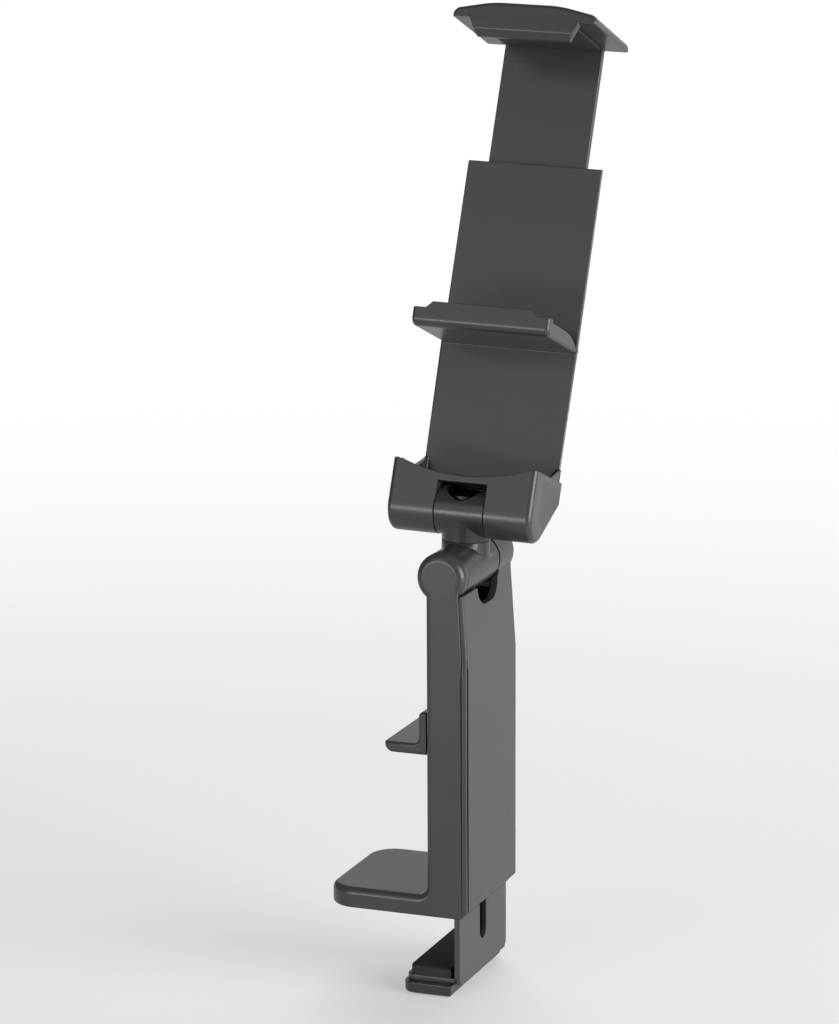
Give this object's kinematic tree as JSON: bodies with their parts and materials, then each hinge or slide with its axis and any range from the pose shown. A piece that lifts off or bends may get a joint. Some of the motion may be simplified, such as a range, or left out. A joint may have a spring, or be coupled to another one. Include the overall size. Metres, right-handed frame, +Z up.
{
  "type": "travel phone holder",
  "caption": "Folding charcoal plastic phone holder: spring jaws on a tilting, swivelling neck above an upright base that clamps onto a table edge with a foot and a sliding jaw.",
  "frame": {"origin": "on the underside of the foot, straight below the base hinge axis and at mid width", "axes": "+Z up, +X outward from the table edge, +Y along the table edge, away from the phone's screen side"},
  "size_m": [0.0507, 0.0745, 0.2299],
  "materials": {
    "charcoal_plastic": "fine matt texture",
    "link_plastic": "smoother satin",
    "clamp_plastic": "fine matt texture",
    "soft_rubber": "dull",
    "washer_plastic": "natural nylon",
    "screw_steel": "zinc plated",
    "pin_steel": "ground",
    "spring_steel": "drawn wire"
  },
  "bodies": {
    "base": {"base_body": "charcoal_plastic", "base_cover": "charcoal_plastic", "cover_screws": "screw_steel", "stop_pin": "pin_steel", "foot_pad": "soft_rubber", "base_hinge_pin": "pin_steel", "hinge_washers": "washer_plastic", "spring_posts": "pin_steel"},
    "clamp": {"clamp_slide": "clamp_plastic", "clamp_jaw": "clamp_plastic", "clamp_pad": "soft_rubber", "jaw_screws": "screw_steel", "thumb_tab": "clamp_plastic", "tab_screws": "screw_steel", "slide_pins": "pin_steel", "clamp_springs": "spring_steel"},
    "link": {"lower_link": "link_plastic", "swivel_screw": "screw_steel"},
    "neck": {"upper_link": "link_plastic", "swivel_washer": "washer_plastic"},
    "clip": {"clip_frame": "charcoal_plastic", "clip_back_cover": "charcoal_plastic", "back_cover_screws": "screw_steel", "clip_hinge_pins": "pin_steel", "clip_hinge_washers": "washer_plastic", "lower_jaw_pad": "soft_rubber", "clip_spring_anchors": "pin_steel", "clip_springs": "spring_steel"},
    "top_jaw": {"top_slide": "charcoal_plastic", "top_jaw_pad": "soft_rubber", "top_spring_pins": "pin_steel"}
  },
  "joints": [
    {"name": "clamp_slide", "type": "slide", "parent": "base", "child": "clamp", "axis": [0, 0, 1], "range_m": [-0.015, 0.008], "stiffness_N_per_m": 450, "springref_m": 0.03, "deforming": ["clamp_springs"]},
    {"name": "base_tilt", "type": "hinge", "parent": "base", "child": "link", "pos_m": [0, 0, 0.0822], "axis": [0, 1, 0], "range_deg": [-45, 75]},
    {"name": "neck_swivel", "type": "hinge", "parent": "link", "child": "neck", "pos_m": [0, 0, 0.0822], "axis": [0.0262, 0, 0.9997], "continuous": true},
    {"name": "clip_tilt", "type": "hinge", "parent": "neck", "child": "clip", "pos_m": [0.00033, 0, 0.09495], "axis": [-0.9997, 0, 0.0262], "range_deg": [-100, 24]},
    {"name": "jaw_slide", "type": "slide", "parent": "clip", "child": "top_jaw", "axis": [0.0246, 0.3469, 0.9376], "range_m": [-0.027, 0.013], "stiffness_N_per_m": 150, "springref_m": -0.042, "deforming": ["clip_springs"]}
  ]
}
